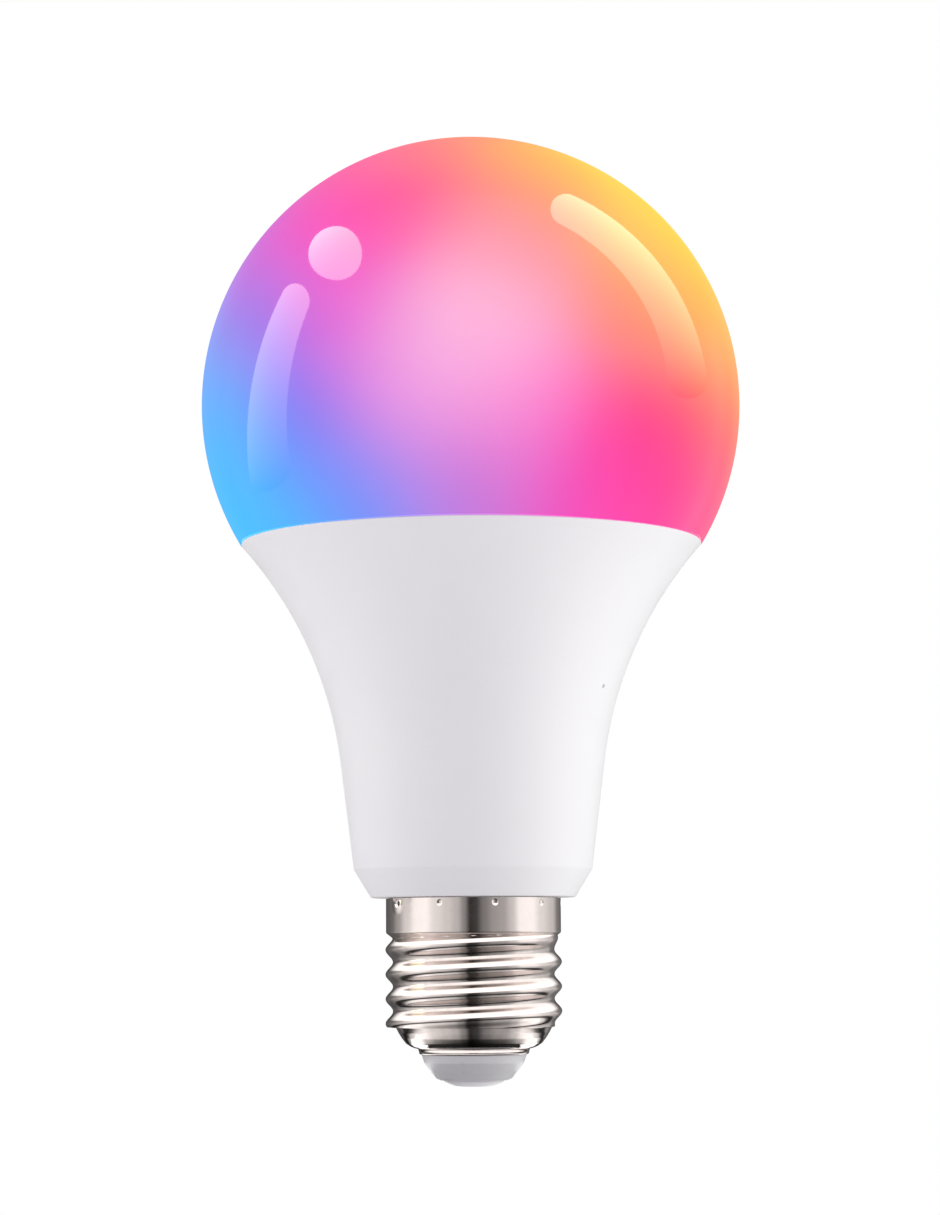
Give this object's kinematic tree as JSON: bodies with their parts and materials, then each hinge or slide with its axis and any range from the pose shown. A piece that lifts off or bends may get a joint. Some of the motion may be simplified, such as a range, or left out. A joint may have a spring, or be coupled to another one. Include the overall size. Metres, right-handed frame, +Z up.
{
  "type": "smart light bulb",
  "caption": "Colour-changing LED bulb: opal sphere globe on a flared white body, with light board, driver and radio board inside and an Edison screw cap.",
  "frame": {"origin": "lowest point of the centre contact, on the bulb's axis", "axes": "+Z up along the axis from the centre contact to the top of the globe; -Y is the side that faces the viewer"},
  "size_m": [0.081, 0.081, 0.1421],
  "materials": {
    "opal_plastic": "opal polycarbonate, glossy skin, lit from inside in soft colours",
    "white_plastic": "fine matt moulded white",
    "nickel_plate": "bright nickel plate on rolled sheet",
    "insulator_plastic": "smooth pale grey",
    "sealant": "cured white silicone",
    "liner_aluminium": "spun, matt",
    "pressed_aluminium": "blanked sheet, fine grain",
    "thermal_rubber": "soft grey-blue gap pad",
    "board_white": "white solder mask on aluminium",
    "board_green": "green solder mask on glass-epoxy",
    "board_dark_green": "dark green solder mask on glass-epoxy",
    "screw_steel": "zinc-plated",
    "package_plastic": "moulded white package",
    "warm_phosphor": "orange phosphor in silicone",
    "cool_phosphor": "yellow phosphor in silicone",
    "clear_window": "clear silicone",
    "socket_plastic": "off-white nylon",
    "gold_plate": "thin gold plate",
    "tinned_metal": "tinned",
    "black_epoxy": "moulded epoxy, laser-matt",
    "crystal_can": "plated lid",
    "capacitor_blue": "shrunk sleeve",
    "capacitor_black": "shrunk sleeve",
    "film_yellow": "potted box",
    "ferrite": "ground ferrite",
    "bobbin_black": "phenolic",
    "winding_tape": "yellow polyester tape over the winding",
    "copper_wire": "enamelled copper",
    "fuse_coating": "dipped coat",
    "varistor_coating": "dipped epoxy coat",
    "resistor_body": "fired film on alumina",
    "ceramic_tan": "sintered ceramic",
    "lead_insulation": "extruded sleeve"
  },
  "bodies": {
    "root": {"diffuser_globe": "opal_plastic", "globe_adhesive": "sealant", "body_shell": "white_plastic", "heat_sink_liner": "liner_aluminium", "heat_spreader": "pressed_aluminium", "thermal_pad": "thermal_rubber", "led_board": "board_white", "board_screws": "screw_steel", "warm_white_leds": "package_plastic", "warm_phosphors": "warm_phosphor", "cool_white_leds": "package_plastic", "cool_phosphors": "cool_phosphor", "rgb_leds": "package_plastic", "rgb_windows": "clear_window", "board_socket": "socket_plastic", "header_pins": "gold_plate", "radio_board": "board_dark_green", "radio_chip": "black_epoxy", "radio_crystal": "crystal_can", "radio_shield": "tinned_metal", "antenna_trace": "gold_plate", "radio_pins": "gold_plate", "driver_board": "board_green", "bulk_capacitor": "capacitor_blue", "output_capacitor": "capacitor_black", "film_capacitor": "film_yellow", "transformer_core": "ferrite", "transformer_bobbin": "bobbin_black", "transformer_winding": "winding_tape", "choke_core": "ferrite", "choke_winding": "copper_wire", "bridge_rectifier": "black_epoxy", "fuse_resistor": "fuse_coating", "varistor": "varistor_coating", "driver_chip": "black_epoxy", "dimming_chip": "black_epoxy", "chip_legs": "tinned_metal", "surface_resistors": "resistor_body", "ceramic_capacitors": "ceramic_tan", "component_leads": "tinned_metal", "live_lead": "lead_insulation", "neutral_lead": "tinned_metal", "screw_cap": "nickel_plate", "cap_insulator": "insulator_plastic", "centre_contact": "nickel_plate"}
  },
  "joints": []
}
